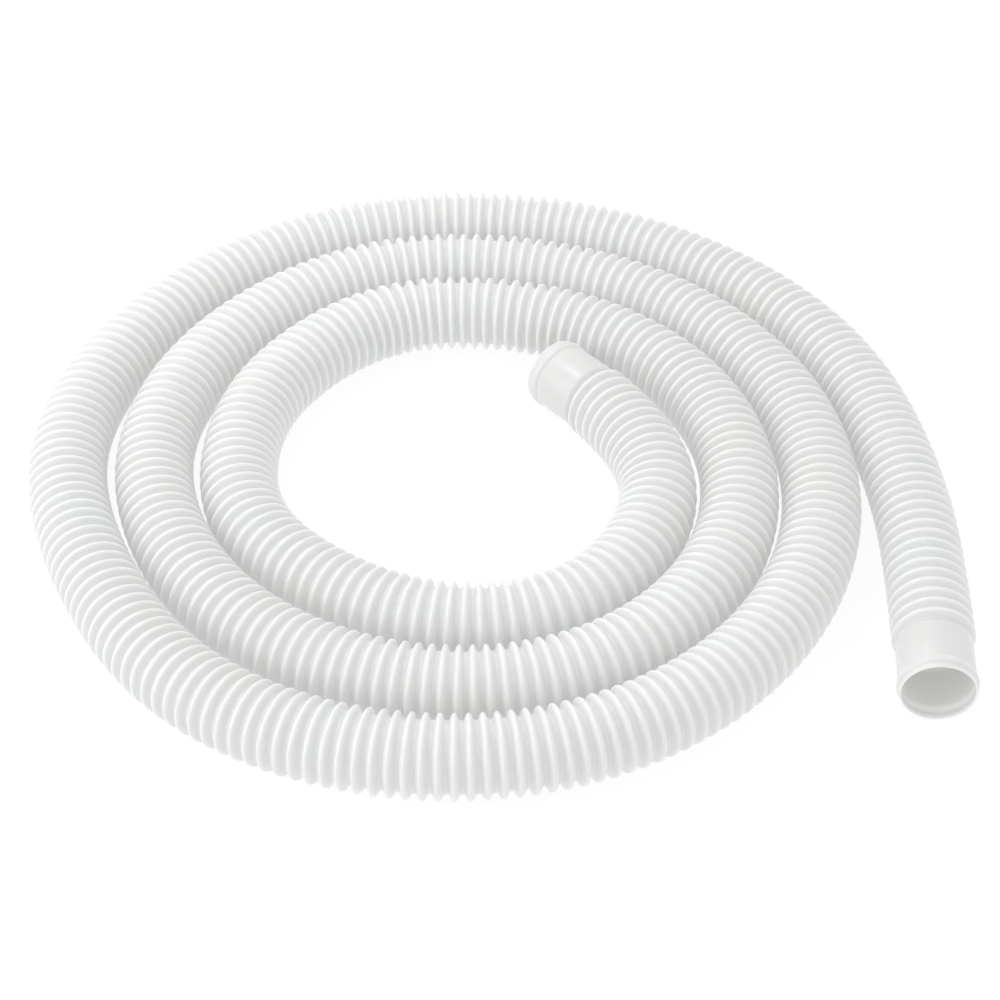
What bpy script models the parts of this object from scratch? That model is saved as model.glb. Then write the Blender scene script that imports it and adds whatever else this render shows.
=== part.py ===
"""Pool vacuum hose, 32 mm bore and about 3.1 m long, lying on the floor in a flat coil.

Metres, +Z up. The origin is on the floor under the middle of the coil's box. The hose is one
length of corrugated tube with a plain socket, the cuff, moulded on each end. It is cut here
into the stretches that do different work: three turns that lie still, a free tail at each end,
and the stretches that flex when a tail is swung or lifted. The ribs are left out: each stretch
is a plain tube from the tops of the ribs to the inside of the grooves.
"""

import math

import bmesh
import bpy
import numpy as np
from mathutils import Matrix, Vector

MM = 0.001

# Tube and cuffs
HOSE_OD = 38 * MM  # over the ribs
HOSE_BORE = 31.2 * MM  # inside the grooves
TUBE_SIDES = 12
RING_STEP = 15 * MM  # most that two rings of a stretch are apart
GAP = 0.3 * MM  # between one stretch's end face and the next
CUFF_LENGTH = 31 * MM
CUFF_OD = 35 * MM
CUFF_BORE = 32.4 * MM  # slides over a 32 mm port
BEAD_OD = 36.4 * MM
BEAD_WALL = 0.9 * MM
BEAD_START = 2.6 * MM  # from the rim
BEAD_LENGTH = 4.4 * MM
RIM_ROUND = 0.5 * MM
CUFF_SIDES = 32

# Coil: a spiral seen from above, whose angle keeps growing inwards from turn to turn
COIL_CENTRE = (-20 * MM, 30 * MM)
COIL_FIRST_DEG = 30
COIL_LAST_DEG = 1020
COIL_STEP_DEG = 15
COIL_MEAN_DEG = 540
MEAN_RADIUS = 154 * MM
RADIUS_CHANGE = -61.5 * MM  # from the mean angle to twice the mean angle
RADIUS_BOW = 0.7 * MM
# The turns sit off centre, and by a different amount further in: (on average, change)
OFF_CENTRE_X = (4.2 * MM, 3.0 * MM)
OFF_CENTRE_Y = (-5.1 * MM, 3.4 * MM)
# Swells and dents in every turn: (angle, half width, height on average, change further in)
SWELLS = (
    (206, 21, -2.0 * MM, 7.0 * MM),
    (107, 21, 3.5 * MM, 0.5 * MM),
    (41, 70, -5.8 * MM, -1.1 * MM),
    (288, 44, 6.0 * MM, 4.5 * MM),
)

# Tails, in millimetres from above: the outer one from its rim to the coil, the inner one
# from the coil to its rim
OUTER_TAIL = (
    (193, -127),
    (194, -112),
    (195.2, -96),
    (196.5, -72),
    (197.5, -44),
    (197.5, -15),
    (195.5, 14),
    (191.5, 43),
    (185, 72),
)
INNER_TAIL = (
    (55.5, -50),
    (70, -23),
    (76, 5),
    (71.5, 33),
    (60, 57.5),
    (47.3, 76),
    (37.2, 87.7),
    (27, 99.5),
)

# Stretches of the hose. Lengths are counted from the nearer rim.
OUTER_TAIL_END = 62 * MM
OUTER_TAIL_FLEX_END = 172 * MM
OUTER_NECK_END = 197 * MM
OUTER_NECK_FLEX_END = 337 * MM
OUTER_TURN_END = 1345 * MM
MIDDLE_TURN_END = 2235 * MM
INNER_NECK_FLEX_END = 285 * MM
INNER_NECK_END = 175 * MM
INNER_TAIL_FLEX_END = 155 * MM
INNER_TAIL_END = 60 * MM
PIVOT_SHARE = 0.3  # how far along a flexing stretch it turns, from its end nearer the coil

HOSE_COLOUR = (0.84, 0.85, 0.84, 1)
CUFF_COLOUR = (0.82, 0.83, 0.82, 1)
ROUGHNESS = 0.36


def clear_scene():
    for old in list(bpy.data.objects):
        bpy.data.objects.remove(old, do_unlink=True)


def plastic(name, colour):
    """Milky polyethylene with a soft shine."""
    material = bpy.data.materials.new(name)
    material.use_nodes = True
    shader = material.node_tree.nodes["Principled BSDF"]
    shader.inputs["Base Color"].default_value = colour
    shader.inputs["Roughness"].default_value = ROUGHNESS
    shader.inputs["Metallic"].default_value = 0
    return material


def coil_radius(degrees):
    """The coil's radius at an angle that keeps growing from turn to turn."""
    inward = (degrees - COIL_MEAN_DEG) / COIL_MEAN_DEG
    angle = math.radians(degrees)
    radius = MEAN_RADIUS + RADIUS_CHANGE * inward + RADIUS_BOW * (inward**2 - 1 / 3)
    radius += (OFF_CENTRE_X[0] + OFF_CENTRE_X[1] * inward) * math.cos(angle)
    radius += (OFF_CENTRE_Y[0] + OFF_CENTRE_Y[1] * inward) * math.sin(angle)
    for middle, half_width, height, change in SWELLS:
        away = (degrees - middle + 180) % 360 - 180
        radius += (height + change * inward) * math.exp(-((away / half_width) ** 2))
    return radius


def route_points():
    """The middle line's points, seen from above, from the outer rim to the inner one."""
    points = [(x * MM, y * MM) for x, y in OUTER_TAIL]
    for degrees in range(COIL_FIRST_DEG, COIL_LAST_DEG + 1, COIL_STEP_DEG):
        angle = math.radians(degrees)
        radius = coil_radius(degrees)
        points.append(
            (
                COIL_CENTRE[0] + radius * math.cos(angle),
                COIL_CENTRE[1] + radius * math.sin(angle),
            )
        )
    points += [(x * MM, y * MM) for x, y in INNER_TAIL]
    return np.array(points)


def smooth_line(points, step=0.5 * MM):
    """A natural cubic spline through the points, as a fine line of short steps."""
    knots = np.concatenate([[0], np.cumsum(np.linalg.norm(np.diff(points, axis=0), axis=1))])
    gaps = np.diff(knots)
    count = len(points)
    matrix = np.eye(count)
    wanted = np.zeros((count, 2))
    for i in range(1, count - 1):
        matrix[i, i - 1 : i + 2] = gaps[i - 1], 2 * (gaps[i - 1] + gaps[i]), gaps[i]
        slopes = np.diff(points[i - 1 : i + 2], axis=0) / gaps[i - 1 : i + 1, None]
        wanted[i] = 6 * (slopes[1] - slopes[0])
    bends = np.linalg.solve(matrix, wanted)
    at = np.linspace(0, knots[-1], int(knots[-1] / step))
    span = np.clip(np.searchsorted(knots, at) - 1, 0, count - 2)
    width = gaps[span][:, None]
    done = (at - knots[span])[:, None]
    left = width - done
    return (
        (bends[span] * left**3 + bends[span + 1] * done**3) / (6 * width)
        + (points[span] / width - bends[span] * width / 6) * left
        + (points[span + 1] / width - bends[span + 1] * width / 6) * done
    )


class Route:
    """The hose's middle line, read by the length of hose from the outer rim."""

    def __init__(self):
        line = smooth_line(route_points())
        line -= (line.min(axis=0) + line.max(axis=0)) / 2
        steps = np.linalg.norm(np.diff(line, axis=0), axis=1)
        self.line = line
        self.lengths = np.concatenate([[0], np.cumsum(steps)])
        self.length = self.lengths[-1]

    def place(self, length):
        x, y = (np.interp(length, self.lengths, self.line[:, k]) for k in range(2))
        return Vector((x, y, HOSE_OD / 2))

    def heading(self, length):
        """The way the hose runs there, towards the inner rim."""
        before = self.place(max(length - MM, 0))
        after = self.place(min(length + MM, self.length))
        return (after - before).normalized()


def add_ring(mesh, route, length, radius, sides):
    """A ring of vertices round the hose's middle line, starting at its left side."""
    heading = route.heading(length)
    left = Vector((-heading.y, heading.x, 0))
    middle = route.place(length)
    ring = []
    for k in range(sides):
        angle = 2 * math.pi * k / sides
        offset = left * math.cos(angle) + Vector((0, 0, math.sin(angle)))
        ring.append(mesh.verts.new(middle + radius * offset))
    return ring


def hollow_tube(name, route, outside, inside, sides, material):
    """A closed tube wall. outside and inside are lists of (length along the hose, radius)."""
    mesh = bmesh.new()
    loop = list(outside) + list(reversed(inside))
    rings = [add_ring(mesh, route, length, radius, sides) for length, radius in loop]
    for one, other in zip(rings, rings[1:] + rings[:1]):
        for k in range(sides):
            n = (k + 1) % sides
            mesh.faces.new((one[k], one[n], other[n], other[k]))
    bmesh.ops.recalc_face_normals(mesh, faces=mesh.faces)
    data = bpy.data.meshes.new(name)
    mesh.to_mesh(data)
    mesh.free()
    data.shade_smooth()
    data.set_sharp_from_angle(angle=math.radians(50))
    data.materials.append(material)
    made = bpy.data.objects.new(name, data)
    bpy.context.scene.collection.objects.link(made)
    return made


def stretch(name, route, start, end, material):
    """A plain length of hose between two lengths from the outer rim."""
    start += GAP / 2
    end -= GAP / 2
    steps = math.ceil((end - start) / RING_STEP)
    lengths = [start + (end - start) * k / steps for k in range(steps + 1)]
    outside = [(length, HOSE_OD / 2) for length in lengths]
    inside = [(length, HOSE_BORE / 2) for length in lengths]
    return hollow_tube(name, route, outside, inside, TUBE_SIDES, material)


def cuff(name, route, material, at_inner_end):
    """The plain socket at one end, with a bead round its mouth and a groove inside the bead."""
    bead_top = BEAD_OD / 2
    bead_end = BEAD_START + BEAD_LENGTH
    slope = BEAD_LENGTH / 4
    last = CUFF_LENGTH - GAP / 2
    outside = [
        (0, CUFF_OD / 2 - RIM_ROUND),
        (RIM_ROUND, CUFF_OD / 2),
        (BEAD_START, CUFF_OD / 2),
        (BEAD_START + slope, bead_top),
        (bead_end - slope, bead_top),
        (bead_end, CUFF_OD / 2),
        (last, CUFF_OD / 2),
    ]
    inside = [
        (0, CUFF_BORE / 2),
        (BEAD_START + slope / 2, CUFF_BORE / 2),
        (BEAD_START + slope * 1.2, bead_top - BEAD_WALL),
        (bead_end - slope * 1.2, bead_top - BEAD_WALL),
        (bead_end - slope / 2, CUFF_BORE / 2),
        (last, CUFF_BORE / 2),
    ]
    if at_inner_end:
        outside = [(route.length - length, radius) for length, radius in outside]
        inside = [(route.length - length, radius) for length, radius in inside]
    return hollow_tube(name, route, outside, inside, CUFF_SIDES, material)


def pivot_length(start, end):
    """Where a flexing stretch turns. start is its end nearer the rim."""
    return end - PIVOT_SHARE * (end - start)


def pivot(name, place, parent=None):
    """An empty at a joint, which carries the pieces beyond it."""
    made = bpy.data.objects.new(name, None)
    made.location = place - (parent.location if parent else Vector())
    made.parent = parent
    bpy.context.scene.collection.objects.link(made)
    return made


def carry(piece, place, parent):
    """Hangs a piece on an empty and moves the piece's origin there."""
    piece.data.transform(Matrix.Translation(-place))
    piece.parent = parent


def build_coil(route, hose):
    """The three turns that lie still."""
    first = OUTER_NECK_FLEX_END
    last = route.length - INNER_NECK_FLEX_END
    stretch("outer_turn", route, first, OUTER_TURN_END, hose)
    stretch("middle_turn", route, OUTER_TURN_END, MIDDLE_TURN_END, hose)
    stretch("inner_turn", route, MIDDLE_TURN_END, last, hose)


def build_outer_end(route, hose, plain):
    """The tail that lies outside the coil, hung on its two pivots."""
    neck_place = route.place(pivot_length(OUTER_NECK_END, OUTER_NECK_FLEX_END))
    tail_place = route.place(pivot_length(OUTER_TAIL_END, OUTER_TAIL_FLEX_END))
    neck = pivot("outer_neck_pivot", neck_place)
    tail = pivot("outer_tail_pivot", tail_place, neck)
    stretch("outer_neck_flex", route, OUTER_NECK_END, OUTER_NECK_FLEX_END, hose)
    on_neck = [
        stretch("outer_neck", route, OUTER_TAIL_FLEX_END, OUTER_NECK_END, hose),
        stretch("outer_tail_flex", route, OUTER_TAIL_END, OUTER_TAIL_FLEX_END, hose),
    ]
    on_tail = [
        stretch("outer_tail", route, CUFF_LENGTH, OUTER_TAIL_END, hose),
        cuff("outer_cuff", route, plain, at_inner_end=False),
    ]
    for piece in on_neck:
        carry(piece, neck_place, neck)
    for piece in on_tail:
        carry(piece, tail_place, tail)


def build_inner_end(route, hose, plain):
    """The tail that lies inside the coil, hung on its two pivots."""

    def from_rim(length):
        return route.length - length

    neck_place = route.place(from_rim(pivot_length(INNER_NECK_END, INNER_NECK_FLEX_END)))
    tail_place = route.place(from_rim(pivot_length(INNER_TAIL_END, INNER_TAIL_FLEX_END)))
    neck = pivot("inner_neck_pivot", neck_place)
    tail = pivot("inner_tail_pivot", tail_place, neck)
    ends = [INNER_NECK_FLEX_END, INNER_NECK_END, INNER_TAIL_FLEX_END, INNER_TAIL_END]
    coil_end, neck_start, flex_start, tail_start = map(from_rim, ends)
    stretch("inner_neck_flex", route, coil_end, neck_start, hose)
    on_neck = [
        stretch("inner_neck", route, neck_start, flex_start, hose),
        stretch("inner_tail_flex", route, flex_start, tail_start, hose),
    ]
    on_tail = [
        stretch("inner_tail", route, tail_start, from_rim(CUFF_LENGTH), hose),
        cuff("inner_cuff", route, plain, at_inner_end=True),
    ]
    for piece in on_neck:
        carry(piece, neck_place, neck)
    for piece in on_tail:
        carry(piece, tail_place, tail)


def main():
    clear_scene()
    hose = plastic("hose_wall", HOSE_COLOUR)
    plain = plastic("cuff_wall", CUFF_COLOUR)
    route = Route()
    build_coil(route, hose)
    build_outer_end(route, hose, plain)
    build_inner_end(route, hose, plain)


main()
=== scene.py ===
"""The looks of the pool vacuum hose: its ribbed wall, its two cuffs and their milky plastic.

The hose lies in a flat coil of three turns with a free tail at each end. Its middle line is the
CAD model's own. Each stretch of hose is a closed ribbed wall, 0.8 mm thick, and each flexing
stretch lies inside a longer piece that reaches past both its ends.
"""

import math

import bpy
import numpy as np
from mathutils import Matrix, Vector


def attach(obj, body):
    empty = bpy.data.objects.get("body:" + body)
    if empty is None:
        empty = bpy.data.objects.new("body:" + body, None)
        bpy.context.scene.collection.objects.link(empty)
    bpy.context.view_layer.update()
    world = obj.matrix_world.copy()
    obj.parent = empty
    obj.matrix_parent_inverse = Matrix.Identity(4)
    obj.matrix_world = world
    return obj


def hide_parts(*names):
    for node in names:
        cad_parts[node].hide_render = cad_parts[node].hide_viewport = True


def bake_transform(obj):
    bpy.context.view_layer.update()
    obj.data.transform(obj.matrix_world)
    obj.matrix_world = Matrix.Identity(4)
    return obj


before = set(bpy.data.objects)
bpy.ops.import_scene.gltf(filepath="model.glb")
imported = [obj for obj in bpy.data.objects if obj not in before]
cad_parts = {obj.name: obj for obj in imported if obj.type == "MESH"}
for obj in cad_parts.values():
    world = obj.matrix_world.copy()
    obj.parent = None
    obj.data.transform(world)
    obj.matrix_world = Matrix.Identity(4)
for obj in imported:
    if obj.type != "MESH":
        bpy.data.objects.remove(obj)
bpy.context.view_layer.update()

MM = 0.001

# Camera: it looks along +Y and down, at a point near the middle of the coil
AIM = (6.91 * MM, -30.84 * MM, 19 * MM)
CAMERA_DISTANCE = 1112 * MM
CAMERA_ELEVATION_DEG = 42
CAMERA_LENS_MM = 83.27
CAMERA_SENSOR_MM = 36

# Light: a bright even room, a lit table under the hose, a lamp up behind it on the left and a
# wide soft one on its left
WHITE = (1, 1, 1, 1)
WORLD_STRENGTH = 1.0
KEY_PLACE = (-0.5, 0.5, 1.3)
KEY_SIZE = 0.35
KEY_POWER = 4.5
FILL_PLACE = (-1.2, -0.4, 0.6)
FILL_SIZE = 1
FILL_POWER = 5
FLOOR_HALF_WIDTH = 6
FLOOR_GREY = 0.2
FLOOR_GLOW = 0.83
FLOOR_ROUGHNESS = 0.9

# Plastic: milky, with cool and warm cloudy patches. The plastic also gives off light of its own all
# over: painted light in place of light scattered inside the wall, which lifts the shade in the
# grooves. The scatter is how far light goes under the surface.
HOSE_LOOK = {
    "cool": (0.59, 0.61, 0.61, 1),
    "warm": (0.595, 0.59, 0.575, 1),
    "painted_glow": 0.14,
    "scatter": 2 * MM,
}
CUFF_LOOK = {
    "cool": (0.51, 0.53, 0.53, 1),
    "warm": (0.515, 0.51, 0.495, 1),
    "painted_glow": 0.12,
    "scatter": 5 * MM,
}
PLASTIC_IOR = 1.5
SCATTERED_SHARE = 0.8
SCATTER_BY_COLOUR = (1.0, 1.0, 0.95)  # red, green and blue, as shares of the scatter
SMOOTHEST = 0.3
ROUGHEST = 0.44
# Noise along the hose, as (scale for each metre, detail)
CLOUDS = (22, 3)
GRAIN = (700, 2)
GRAIN_BUMP = 0.15
GRAIN_HEIGHT = 0.1 * MM

# Coil: a spiral seen from above, whose angle keeps growing inwards from turn to turn
COIL_CENTRE = (-20 * MM, 30 * MM)
COIL_FIRST_DEG = 30
COIL_LAST_DEG = 1020
COIL_STEP_DEG = 15
COIL_MEAN_DEG = 540
MEAN_RADIUS = 154 * MM
RADIUS_CHANGE = -61.5 * MM  # from the mean angle to twice the mean angle
RADIUS_BOW = 0.7 * MM
# The turns sit off centre, and by a different amount further in: (on average, change)
OFF_CENTRE_X = (4.2 * MM, 3.0 * MM)
OFF_CENTRE_Y = (-5.1 * MM, 3.4 * MM)
# Swells and dents in every turn: (angle, half width, height on average, change further in)
SWELLS = (
    (206, 21, -2.0 * MM, 7.0 * MM),
    (107, 21, 3.5 * MM, 0.5 * MM),
    (41, 70, -5.8 * MM, -1.1 * MM),
    (288, 44, 6.0 * MM, 4.5 * MM),
)

# Tails, in millimetres from above: the outer one from its rim to the coil, the inner one
# from the coil to its rim
OUTER_TAIL = (
    (193, -127),
    (194, -112),
    (195.2, -96),
    (196.5, -72),
    (197.5, -44),
    (197.5, -15),
    (195.5, 14),
    (191.5, 43),
    (185, 72),
)
INNER_TAIL = (
    (55.5, -50),
    (70, -23),
    (76, 5),
    (71.5, 33),
    (60, 57.5),
    (47.3, 76),
    (37.2, 87.7),
    (27, 99.5),
)
LINE_STEP = 0.5 * MM

# Ribs
HOSE_OD = 38 * MM  # over the ribs
RIB_DEPTH = 3.2 * MM
GROOVE_RADIUS = HOSE_OD / 2 - RIB_DEPTH
WALL = 0.8 * MM
RIB_COUNT = 470
HOSE_SIDES = 38
# One rib from the middle of a groove to the rib's top: (share of the pitch, share of the depth)
OUTER_HALF_RIB = (
    (0, 0),
    (0.11, 0.015),
    (0.18, 0.15),
    (0.25, 0.44),
    (0.32, 0.75),
    (0.40, 0.95),
    (0.5, 1),
)
INNER_HALF_RIB = ((0, 0), (0.15, 0.05), (0.34, 0.62), (0.5, 1))

# Cuffs: their outside and inside, from the rim, as (length, radius) in millimetres
CUFF_LENGTH = 31 * MM
CUFF_SIDES = 96
CUFF_OUTSIDE = (
    (0, 16.75),  # the rounded rim
    (0.12, 17.05),
    (0.5, 17.25),
    (1.6, 17.35),
    (2.3, 17.4),  # the bead
    (2.7, 17.6),
    (3.2, 18.0),
    (3.9, 18.2),
    (5.4, 18.2),
    (6.0, 18.0),
    (6.5, 17.6),  # the groove behind the bead
    (6.9, 17.2),
    (7.3, 17.1),
    (7.8, 17.25),
    (8.6, 17.45),  # the plain barrel
    (18, 17.5),
    (27.4, 17.5),
    (28.6, 17.35),  # the shoulder down to the first groove of the hose
    (29.3, 16.9),
    (29.9, 16.2),
    (30.4, 15.87),
    (31, 15.8),
)
CUFF_INSIDE = (
    (0, 16.45),  # the mouth
    (0.3, 16.3),
    (2.6, 16.3),
    (3.2, 16.6),  # the hollow behind the bead
    (3.9, 17.2),
    (5.4, 17.2),
    (6.1, 16.6),
    (6.7, 16.25),
    (8.0, 16.2),  # the bore
    (27.0, 16.2),
    (28.6, 15.9),
    (29.6, 15.2),
    (31, 15.0),
)
SHARP_DEG = 60  # edges sharper than this aren't shaded smooth

# From here on, a length of hose is counted from the outer rim, and a negative one back from
# the inner rim.

# Pieces of ribbed hose, from the outer cuff to the inner one: each starts at the groove nearest
# to a length of hose, ends where the next starts, and stands for one or two CAD nodes
HOSE_PIECES = (
    ("outer_tail_hose", CUFF_LENGTH, ("outer_tail", "outer_tail_flex")),
    ("outer_neck_hose", 184 * MM, ("outer_neck", "outer_neck_flex")),
    ("outer_turn_hose", 430 * MM, ("outer_turn",)),
    ("middle_turn_hose", 1345 * MM, ("middle_turn",)),
    ("inner_turn_hose", 2235 * MM, ("inner_turn",)),
    ("inner_neck_hose", -405 * MM, ("inner_neck", "inner_neck_flex")),
    ("inner_tail_hose", -165 * MM, ("inner_tail", "inner_tail_flex")),
)
STILL_PIECES = ("outer_turn_hose", "middle_turn_hose", "inner_turn_hose")
# Pieces with a flexing stretch: the body on the coil's side, the body on the rim's side, and the
# lengths of hose where the CAD's flexing stretch ends on the coil's side and on the rim's side
BENDING_PIECES = (
    ("outer_tail_hose", "outer_neck", "outer_end", 172 * MM, 62 * MM),
    ("outer_neck_hose", "coil", "outer_neck", 337 * MM, 197 * MM),
    ("inner_neck_hose", "coil", "inner_neck", -285 * MM, -175 * MM),
    ("inner_tail_hose", "inner_neck", "inner_end", -155 * MM, -60 * MM),
)
# Pieces of free hose, and what goes with them. The tails are too short to stand on their own, so
# they and their cuffs go with the outer and inner turns.
FREE_HOSE = {
    "outer_neck_hose": (),
    "outer_turn_hose": ("outer_tail_hose", "outer_cuff_shell"),
    "middle_turn_hose": (),
    "inner_turn_hose": ("inner_tail_hose", "inner_cuff_shell"),
    "inner_neck_hose": (),
}
PATH_STEP = 10 * MM  # between the points of a free hose piece's path


def coil_radius(degrees):
    """The coil's radius at an angle that keeps growing from turn to turn."""
    inward = (degrees - COIL_MEAN_DEG) / COIL_MEAN_DEG
    angle = math.radians(degrees)
    radius = MEAN_RADIUS + RADIUS_CHANGE * inward + RADIUS_BOW * (inward**2 - 1 / 3)
    radius += (OFF_CENTRE_X[0] + OFF_CENTRE_X[1] * inward) * math.cos(angle)
    radius += (OFF_CENTRE_Y[0] + OFF_CENTRE_Y[1] * inward) * math.sin(angle)
    for middle, half_width, height, change in SWELLS:
        away = (degrees - middle + 180) % 360 - 180
        radius += (height + change * inward) * math.exp(-((away / half_width) ** 2))
    return radius


def route_points():
    """The middle line's points, seen from above, from the outer rim to the inner one."""
    points = [(x * MM, y * MM) for x, y in OUTER_TAIL]
    for degrees in range(COIL_FIRST_DEG, COIL_LAST_DEG + 1, COIL_STEP_DEG):
        angle = math.radians(degrees)
        radius = coil_radius(degrees)
        x = COIL_CENTRE[0] + radius * math.cos(angle)
        y = COIL_CENTRE[1] + radius * math.sin(angle)
        points.append((x, y))
    points += [(x * MM, y * MM) for x, y in INNER_TAIL]
    return np.array(points)


def smooth_line(points):
    """A natural cubic spline through the points, as a fine line of short steps."""
    knots = np.concatenate([[0], np.cumsum(np.linalg.norm(np.diff(points, axis=0), axis=1))])
    gaps = np.diff(knots)
    count = len(points)
    matrix = np.eye(count)
    wanted = np.zeros((count, 2))
    for i in range(1, count - 1):
        matrix[i, i - 1 : i + 2] = gaps[i - 1], 2 * (gaps[i - 1] + gaps[i]), gaps[i]
        slopes = np.diff(points[i - 1 : i + 2], axis=0) / gaps[i - 1 : i + 1, None]
        wanted[i] = 6 * (slopes[1] - slopes[0])
    bends = np.linalg.solve(matrix, wanted)
    at = np.linspace(0, knots[-1], int(knots[-1] / LINE_STEP))
    span = np.clip(np.searchsorted(knots, at) - 1, 0, count - 2)
    width = gaps[span][:, None]
    done = (at - knots[span])[:, None]
    left = width - done
    return (
        (bends[span] * left**3 + bends[span + 1] * done**3) / (6 * width)
        + (points[span] / width - bends[span] * width / 6) * left
        + (points[span + 1] / width - bends[span + 1] * width / 6) * done
    )


class Route:
    """The hose's middle line, read by the length of hose from the outer rim."""

    def __init__(self):
        line = smooth_line(route_points())
        line -= (line.min(axis=0) + line.max(axis=0)) / 2
        steps = np.linalg.norm(np.diff(line, axis=0), axis=1)
        self.line = line
        self.lengths = np.concatenate([[0], np.cumsum(steps)])
        self.length = self.lengths[-1]
        self.pitch = (self.length - 2 * CUFF_LENGTH) / RIB_COUNT

    def places(self, lengths):
        """The middle line's points at these lengths of hose."""
        flat = [np.interp(lengths, self.lengths, self.line[:, k]) for k in range(2)]
        return np.stack([*flat, np.full(len(lengths), HOSE_OD / 2)], axis=1)

    def lefts(self, lengths):
        """The level direction to the hose's left, looking towards the inner rim."""
        before = self.places(np.maximum(lengths - MM, 0))
        after = self.places(np.minimum(lengths + MM, self.length))
        heading = after - before
        left = np.stack([-heading[:, 1], heading[:, 0], np.zeros(len(lengths))], axis=1)
        return left / np.linalg.norm(left, axis=1)[:, None]

    def from_outer_rim(self, length):
        """The same length as a positive one, where it counts back from the inner rim."""
        return length if length >= 0 else self.length + length

    def nearest_groove(self, length):
        """The number of the groove nearest to a length of hose, counted from the outer cuff."""
        return round((self.from_outer_rim(length) - CUFF_LENGTH) / self.pitch)

    def groove_at(self, number):
        """The length of hose at a groove."""
        return CUFF_LENGTH + number * self.pitch


def set_up_camera():
    lean = math.radians(CAMERA_ELEVATION_DEG)
    data = bpy.data.cameras.new("camera")
    data.lens = CAMERA_LENS_MM
    data.sensor_width = CAMERA_SENSOR_MM
    camera = bpy.data.objects.new("camera", data)
    camera.location = (
        AIM[0],
        AIM[1] - CAMERA_DISTANCE * math.cos(lean),
        AIM[2] + CAMERA_DISTANCE * math.sin(lean),
    )
    camera.rotation_euler = (math.pi / 2 - lean, 0, 0)
    bpy.context.scene.collection.objects.link(camera)
    bpy.context.scene.camera = camera


def add_area_light(name, place, size, power):
    """A round lamp that points at the frame's origin, under the middle of the coil."""
    data = bpy.data.lights.new(name, "AREA")
    data.shape = "DISK"
    data.size = size
    data.energy = power
    light = bpy.data.objects.new(name, data)
    light.location = place
    light.rotation_euler = (-Vector(place)).to_track_quat("-Z", "Y").to_euler()
    bpy.context.scene.collection.objects.link(light)


def set_up_light():
    bpy.context.scene.view_settings.view_transform = "Standard"
    world = bpy.data.worlds.new("studio")
    world.use_nodes = True
    background = world.node_tree.nodes["Background"]
    background.inputs["Color"].default_value = WHITE
    background.inputs["Strength"].default_value = WORLD_STRENGTH
    bpy.context.scene.world = world
    add_area_light("key", KEY_PLACE, KEY_SIZE, KEY_POWER)
    add_area_light("fill", FILL_PLACE, FILL_SIZE, FILL_POWER)


def set_up_floor():
    far = FLOOR_HALF_WIDTH
    corners = [(-far, -far, 0), (far, -far, 0), (far, far, 0), (-far, far, 0)]
    data = bpy.data.meshes.new("floor")
    data.from_pydata(corners, [], [(0, 1, 2, 3)])
    floor = bpy.data.objects.new("floor", data)
    bpy.context.scene.collection.objects.link(floor)
    material = bpy.data.materials.new("floor")
    material.use_nodes = True
    shader = material.node_tree.nodes["Principled BSDF"]
    shader.inputs["Base Color"].default_value = (FLOOR_GREY, FLOOR_GREY, FLOOR_GREY, 1)
    shader.inputs["Emission Color"].default_value = WHITE
    shader.inputs["Emission Strength"].default_value = FLOOR_GLOW
    shader.inputs["Roughness"].default_value = FLOOR_ROUGHNESS
    shader.inputs["Specular IOR Level"].default_value = 0
    data.materials.append(material)


def add_noise(material, place, scale, detail):
    """Noise fixed to the hose, and not to the room."""
    noise = material.node_tree.nodes.new("ShaderNodeTexNoise")
    noise.inputs["Scale"].default_value = scale
    noise.inputs["Detail"].default_value = detail
    material.node_tree.links.new(place.outputs["Vector"], noise.inputs["Vector"])
    return noise


def milky_plastic(name, look):
    """Natural polyethylene: milky, a little cloudy, with a soft shine and a fine grain, and giving
    off painted light of its own.
    """
    material = bpy.data.materials.new(name)
    material.use_nodes = True
    nodes = material.node_tree.nodes
    links = material.node_tree.links
    shader = nodes["Principled BSDF"]
    shader.inputs["IOR"].default_value = PLASTIC_IOR
    shader.inputs["Subsurface Weight"].default_value = SCATTERED_SHARE
    shader.inputs["Subsurface Radius"].default_value = SCATTER_BY_COLOUR
    shader.inputs["Subsurface Scale"].default_value = look["scatter"]
    # Painted light: the plastic gives off light of its own all over, which lifts its shade
    shader.inputs["Emission Color"].default_value = WHITE
    shader.inputs["Emission Strength"].default_value = look["painted_glow"]
    place = nodes.new("ShaderNodeAttribute")
    place.attribute_name = "hose_place"

    clouds = add_noise(material, place, *CLOUDS)
    colour = nodes.new("ShaderNodeMix")
    colour.data_type = "RGBA"
    colour.inputs["A"].default_value = look["warm"]
    colour.inputs["B"].default_value = look["cool"]
    links.new(clouds.outputs["Fac"], colour.inputs["Factor"])
    links.new(colour.outputs["Result"], shader.inputs["Base Color"])

    grain = add_noise(material, place, *GRAIN)
    rough = nodes.new("ShaderNodeMapRange")
    rough.inputs["To Min"].default_value = SMOOTHEST
    rough.inputs["To Max"].default_value = ROUGHEST
    links.new(grain.outputs["Fac"], rough.inputs["Value"])
    links.new(rough.outputs["Result"], shader.inputs["Roughness"])
    bump = nodes.new("ShaderNodeBump")
    bump.inputs["Strength"].default_value = GRAIN_BUMP
    bump.inputs["Distance"].default_value = GRAIN_HEIGHT
    links.new(grain.outputs["Fac"], bump.inputs["Height"])
    links.new(bump.outputs["Normal"], shader.inputs["Normal"])
    return material


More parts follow.
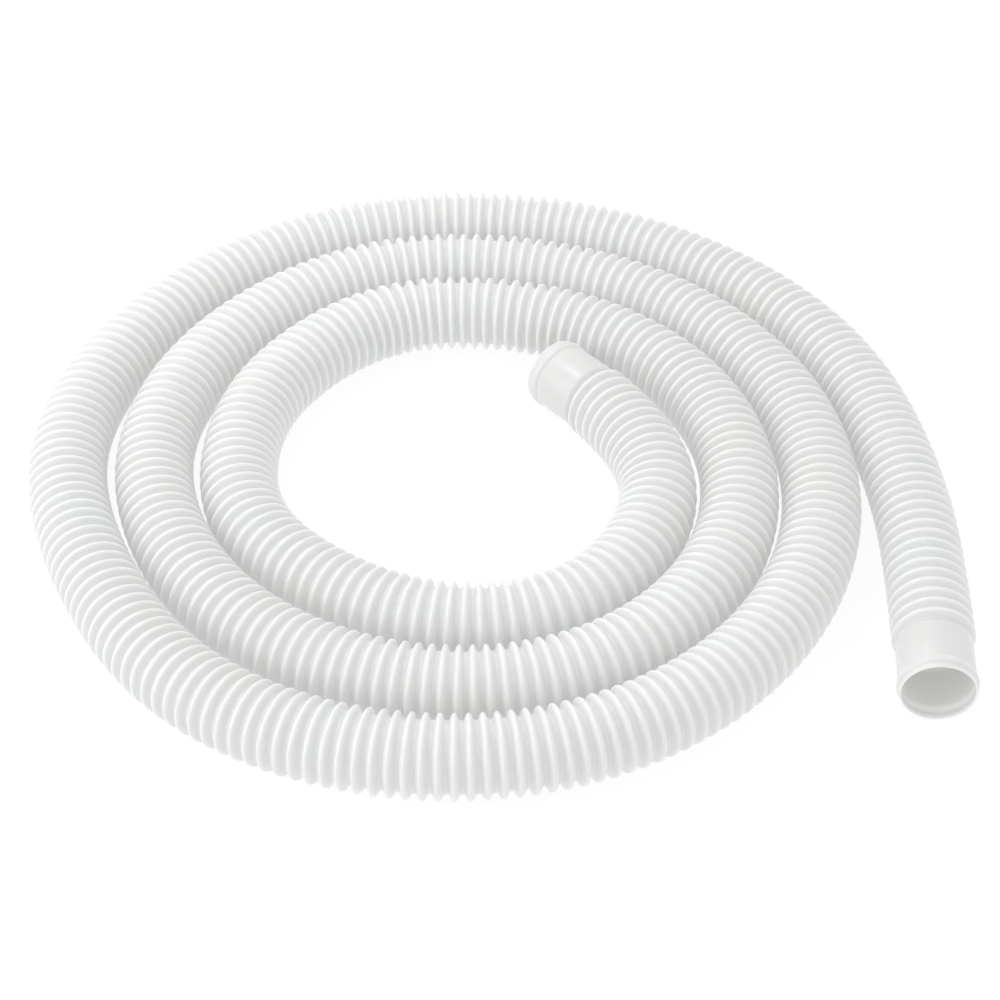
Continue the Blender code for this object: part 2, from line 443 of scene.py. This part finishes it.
def hollow_tube(name, route, outside, inside, sides, material):
    """A closed tube wall. outside and inside are arrays of (length along the hose, radius).

    Its faces point into the wall.
    """
    loop = np.concatenate([outside, inside[::-1]])
    middles = route.places(loop[:, 0])
    lefts = route.lefts(loop[:, 0])
    angles = np.arange(sides) * 2 * math.pi / sides
    rings = middles[:, None] + loop[:, 1, None, None] * (
        lefts[:, None] * np.cos(angles)[None, :, None]
        + np.array([0, 0, 1]) * np.sin(angles)[None, :, None]
    )
    count = len(loop)
    ring = np.arange(count)[:, None]
    side = np.arange(sides)[None, :]
    next_ring, next_side = (ring + 1) % count, (side + 1) % sides
    corners = [(next_ring, side), (next_ring, next_side), (ring, next_side), (ring, side)]
    faces = np.stack([r * sides + s for r, s in corners], axis=-1).reshape(-1, 4)
    data = bpy.data.meshes.new(name)
    data.from_pydata(rings.reshape(-1, 3).tolist(), [], faces.tolist())
    place = np.stack(
        [
            np.repeat(loop[:, 0], sides),
            (loop[:, 1, None] * np.cos(angles)).ravel(),
            (loop[:, 1, None] * np.sin(angles)).ravel(),
        ],
        axis=1,
    )
    attribute = data.attributes.new("hose_place", "FLOAT_VECTOR", "POINT")
    attribute.data.foreach_set("vector", place.astype(np.float32).ravel())
    data.shade_smooth()
    data.set_sharp_from_angle(angle=math.radians(SHARP_DEG))
    data.materials.append(material)
    made = bpy.data.objects.new(name, data)
    bpy.context.scene.collection.objects.link(made)
    return made


def whole_rib(half):
    """One rib from groove to groove, without its last ring, as (share of pitch, share of depth)."""
    up = list(half)
    down = [(1 - share, height) for share, height in reversed(half[1:-1])]
    return np.array(up + down)


def ribbed_profile(half, first, last, pitch, lowest_radius):
    """Ribs from one groove to another, as (length along the hose, radius)."""
    rib = whole_rib(half)
    shares = np.concatenate([k + rib[:, 0] for k in range(first, last)] + [[last]])
    heights = np.concatenate([np.tile(rib[:, 1], last - first), [0]])
    lengths = CUFF_LENGTH + shares * pitch
    return np.stack([lengths, lowest_radius + RIB_DEPTH * heights], axis=1)


def ribbed_hose(name, route, first, last, material):
    """The hose from one groove to another, counted from the outer cuff."""
    outside = ribbed_profile(OUTER_HALF_RIB, first, last, route.pitch, GROOVE_RADIUS)
    inside = ribbed_profile(INNER_HALF_RIB, first, last, route.pitch, GROOVE_RADIUS - WALL)
    return hollow_tube(name, route, outside, inside, HOSE_SIDES, material)


def cuff(name, route, at_inner_end, material):
    """A smooth cuff, with its rim at one end of the hose."""
    outside = np.array(CUFF_OUTSIDE) * MM
    inside = np.array(CUFF_INSIDE) * MM
    if at_inner_end:
        outside[:, 0] = route.length - outside[:, 0]
        inside[:, 0] = route.length - inside[:, 0]
    made = hollow_tube(name, route, outside, inside, CUFF_SIDES, material)
    if at_inner_end:
        # Its lengths run backwards, which turns its faces the other way from the other pieces'
        made.data.flip_normals()
    return made


def bend_piece(piece, route, coil_body, rim_body, coil_side, rim_side):
    """Bakes a piece's place into its mesh and finds the ends of its flexing stretch; it is not
    bent.
    """
    ends = np.array([route.from_outer_rim(coil_side), route.from_outer_rim(rim_side)])
    start, end = route.places(ends)
    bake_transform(piece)


def declare_hose(piece, route, first, last, with_pieces):
    """Works out the path of a piece of free hose, from one groove to another."""
    start, end = route.groove_at(first), route.groove_at(last)
    path = route.places(np.linspace(start, end, math.ceil((end - start) / PATH_STEP) + 1))


def build_cuffs(route):
    """Both cuffs, by name, riding on the hose's free ends."""
    plastic = milky_plastic("cuff_wall", CUFF_LOOK)
    made = {}
    for side in ("outer", "inner"):
        name = f"{side}_cuff_shell"
        made[name] = cuff(name, route, side == "inner", plastic)
        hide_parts(f"{side}_cuff")
        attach(made[name], f"{side}_end")
    return made


def build_hose(route):
    """The ribbed hose's pieces and the cuffs on it."""
    plastic = milky_plastic("hose_wall", HOSE_LOOK)
    firsts = [route.nearest_groove(length) for _, length, _ in HOSE_PIECES]
    lasts = firsts[1:] + [RIB_COUNT]
    made = {}
    grooves = {}
    for (name, _, nodes), first, last in zip(HOSE_PIECES, firsts, lasts):
        made[name] = ribbed_hose(name, route, first, last, plastic)
        grooves[name] = first, last
        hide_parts(*nodes)
    made.update(build_cuffs(route))
    for name in STILL_PIECES:
        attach(made[name], "coil")
    for name, *bend in BENDING_PIECES:
        bend_piece(made[name], route, *bend)
    for name, carried in FREE_HOSE.items():
        declare_hose(made[name], route, *grooves[name], [made[other] for other in carried])


def main():
    set_up_camera()
    set_up_light()
    set_up_floor()
    build_hose(Route())


main()
